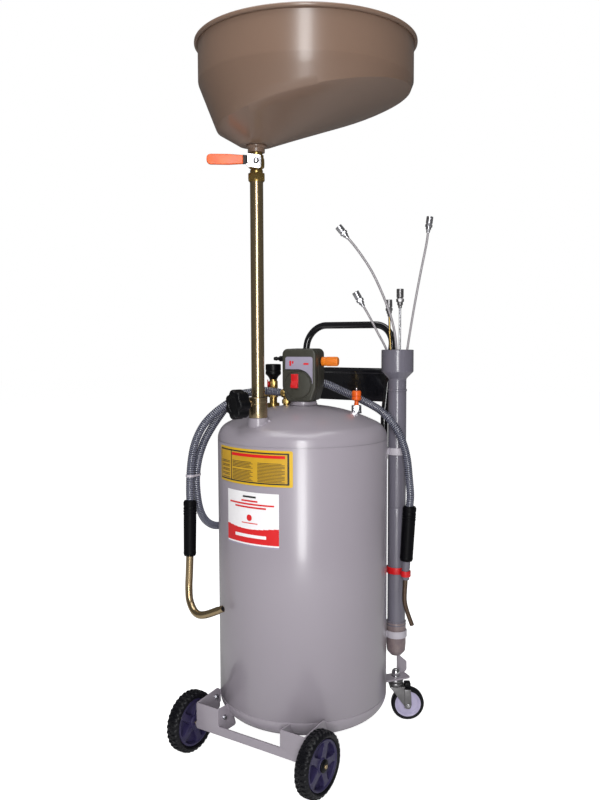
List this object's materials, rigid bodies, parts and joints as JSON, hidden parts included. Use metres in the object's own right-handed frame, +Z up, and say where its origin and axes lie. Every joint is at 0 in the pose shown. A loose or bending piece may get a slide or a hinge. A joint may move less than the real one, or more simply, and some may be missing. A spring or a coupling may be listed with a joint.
{
  "type": "wheeled waste oil drainer",
  "caption": "Wheeled pressure tank with a height-adjustable funnel pan on a tube, an air-driven suction head, hose wands and a holder of suction probes, for draining and extracting vehicle oil.",
  "frame": {"origin": "on the floor, at the middle of the footprint of everything but the hoses and their hand pieces", "axes": "+Z up along the tank, +X towards the drainer's right-hand wheel seen from its wheeled front, +Y towards the handle and casters"},
  "size_m": [0.5386, 0.6056, 1.6006],
  "materials": {
    "grey_paint": "gloss",
    "taupe_paint": "gloss",
    "black_paint": "gloss",
    "black_plastic": "satin",
    "olive_plastic": "satin",
    "grey_pvc": "semi-gloss",
    "white_plastic": "satin",
    "cap_plastic": "semi-gloss",
    "red_plastic": "semi-gloss",
    "orange_plastic": "semi-gloss",
    "yellow_zinc": "yellow-passivated zinc plate",
    "zinc": "zinc plate",
    "brass": "satin",
    "chrome": "bright",
    "rubber": "matte",
    "purple_plastic": "satin",
    "lilac_plastic": "satin",
    "hose_pvc": "translucent, ribbed"
  },
  "bodies": {
    "tank": {"tank_shell": "grey_paint", "top_head": "grey_paint", "bottom_head": "grey_paint", "drain_socket": "grey_paint", "guide_sleeve": "yellow_zinc", "post_bush": "black_plastic", "head_socket": "grey_paint", "head_cover": "olive_plastic", "head_housing": "olive_plastic", "air_nipple": "black_plastic", "gauge_tee": "brass", "gauge_case": "black_plastic", "safety_base": "brass", "handle_frame": "black_paint", "tool_tray": "black_paint", "holder_pipe": "grey_pvc", "holder_cup": "grey_pvc", "holder_cap": "cap_plastic", "clip_upper": "white_plastic", "clip_lower": "white_plastic", "wand_clip": "red_plastic", "axle_bracket": "grey_paint", "axle_rod": "zinc", "caster_bracket_left": "grey_paint", "caster_bracket_right": "grey_paint", "discharge_hose": "hose_pvc", "return_hose": "hose_pvc", "suction_hose": "hose_pvc", "rear_elbow": "brass", "discharge_grip": "black_plastic", "suction_grip": "black_plastic", "discharge_spout": "yellow_zinc", "suction_spout": "zinc"},
    "post": {"drain_tube": "yellow_zinc", "union_nut": "brass"},
    "pan": {"valve_body": "brass", "pan_socket": "taupe_paint", "pan_bowl": "taupe_paint"},
    "lever": {"valve_ball": "chrome", "valve_lever": "chrome", "lever_grip": "orange_plastic"},
    "clamp": {"star_knob": "black_plastic"},
    "switch": {"rocker_switch": "red_plastic"},
    "air_knob": {"air_knob": "orange_plastic"},
    "needle": {"gauge_needle": "red_plastic"},
    "cock": {"cock_handle": "red_plastic"},
    "relief": {"safety_cap": "orange_plastic"},
    "probe_a": {"probe_long_hooked": "zinc"},
    "probe_b": {"probe_long_leaning": "zinc"},
    "probe_c": {"probe_short_leaning": "zinc"},
    "probe_d": {"probe_short_brass": "zinc"},
    "probe_e": {"probe_short_steel": "zinc"},
    "wheel_left": {"tyre_left": "rubber", "wheel_hub_left": "purple_plastic"},
    "wheel_right": {"tyre_right": "rubber", "wheel_hub_right": "purple_plastic"},
    "fork_left": {"caster_fork_left": "zinc"},
    "fork_right": {"caster_fork_right": "zinc"},
    "caster_left": {"caster_wheel_left": "lilac_plastic"},
    "caster_right": {"caster_wheel_right": "lilac_plastic"}
  },
  "joints": [
    {"name": "post_height", "type": "slide", "parent": "tank", "child": "post", "axis": [0, 0, 1], "range_m": [-0.15, 0.15]},
    {"name": "pan_swivel", "type": "hinge", "parent": "post", "child": "pan", "pos_m": [-0.05882, -0.12716, 1.33], "axis": [0, 0, 1], "continuous": true},
    {"name": "valve_lever", "type": "hinge", "parent": "pan", "child": "lever", "pos_m": [-0.05882, -0.12716, 1.348], "axis": [0.5934, -0.8049, 0], "range_deg": [0, 90]},
    {"name": "clamp_turn", "type": "hinge", "parent": "tank", "child": "clamp", "pos_m": [-0.07866, -0.18166, 0.823], "axis": [-0.342, -0.9397, 0], "range_deg": [-180, 180]},
    {"name": "rocker", "type": "hinge", "parent": "tank", "child": "switch", "pos_m": [-0.04118, -0.00483, 0.8685], "axis": [0.9563, 0.2924, 0], "range_deg": [0, 10]},
    {"name": "air_knob_turn", "type": "hinge", "parent": "tank", "child": "air_knob", "pos_m": [-0.00378, 0.04215, 0.913], "axis": [0.9563, 0.2924, 0], "range_deg": [-90, 90]},
    {"name": "gauge_needle", "type": "hinge", "parent": "tank", "child": "needle", "pos_m": [-0.13632, 0.03384, 0.9016], "axis": [0, 0, -1], "range_deg": [0, 270]},
    {"name": "cock_turn", "type": "hinge", "parent": "tank", "child": "cock", "pos_m": [-0.13632, 0.03384, 0.856], "axis": [-0.8049, -0.5934, 0], "range_deg": [-90, 0]},
    {"name": "relief_pull", "type": "slide", "parent": "tank", "child": "relief", "axis": [0, 0, 1], "range_m": [0, 0.003], "stiffness_N_per_m": 400, "springref_m": -0.002},
    {"name": "probe_a_lift", "type": "slide", "parent": "tank", "child": "probe_a", "axis": [0, 0, 1], "range_m": [0, 0.2]},
    {"name": "probe_b_lift", "type": "slide", "parent": "tank", "child": "probe_b", "axis": [0, 0, 1], "range_m": [0, 0.345]},
    {"name": "probe_c_lift", "type": "slide", "parent": "tank", "child": "probe_c", "axis": [0, 0, 1], "range_m": [0, 0.33]},
    {"name": "probe_d_lift", "type": "slide", "parent": "tank", "child": "probe_d", "axis": [0, 0, 1], "range_m": [0, 0.33]},
    {"name": "probe_e_lift", "type": "slide", "parent": "tank", "child": "probe_e", "axis": [0, 0, 1], "range_m": [0, 0.345]},
    {"name": "wheel_left_roll", "type": "hinge", "parent": "tank", "child": "wheel_left", "pos_m": [-0.22332, -0.18066, 0.071], "axis": [1, 0, 0], "continuous": true},
    {"name": "caster_left_swivel", "type": "hinge", "parent": "tank", "child": "fork_left", "pos_m": [-0.18282, 0.23734, 0.09], "axis": [0, 0, 1], "continuous": true},
    {"name": "caster_left_roll", "type": "hinge", "parent": "fork_left", "child": "caster_left", "pos_m": [-0.15825, 0.25455, 0.0415], "axis": [-0.5736, 0.8192, 0], "continuous": true},
    {"name": "wheel_right_roll", "type": "hinge", "parent": "tank", "child": "wheel_right", "pos_m": [0.13468, -0.18066, 0.071], "axis": [1, 0, 0], "continuous": true},
    {"name": "caster_right_swivel", "type": "hinge", "parent": "tank", "child": "fork_right", "pos_m": [0.09418, 0.23734, 0.09], "axis": [0, 0, 1], "continuous": true},
    {"name": "caster_right_roll", "type": "hinge", "parent": "fork_right", "child": "caster_right", "pos_m": [0.11875, 0.25455, 0.0415], "axis": [-0.5736, 0.8192, 0], "continuous": true}
  ]
}
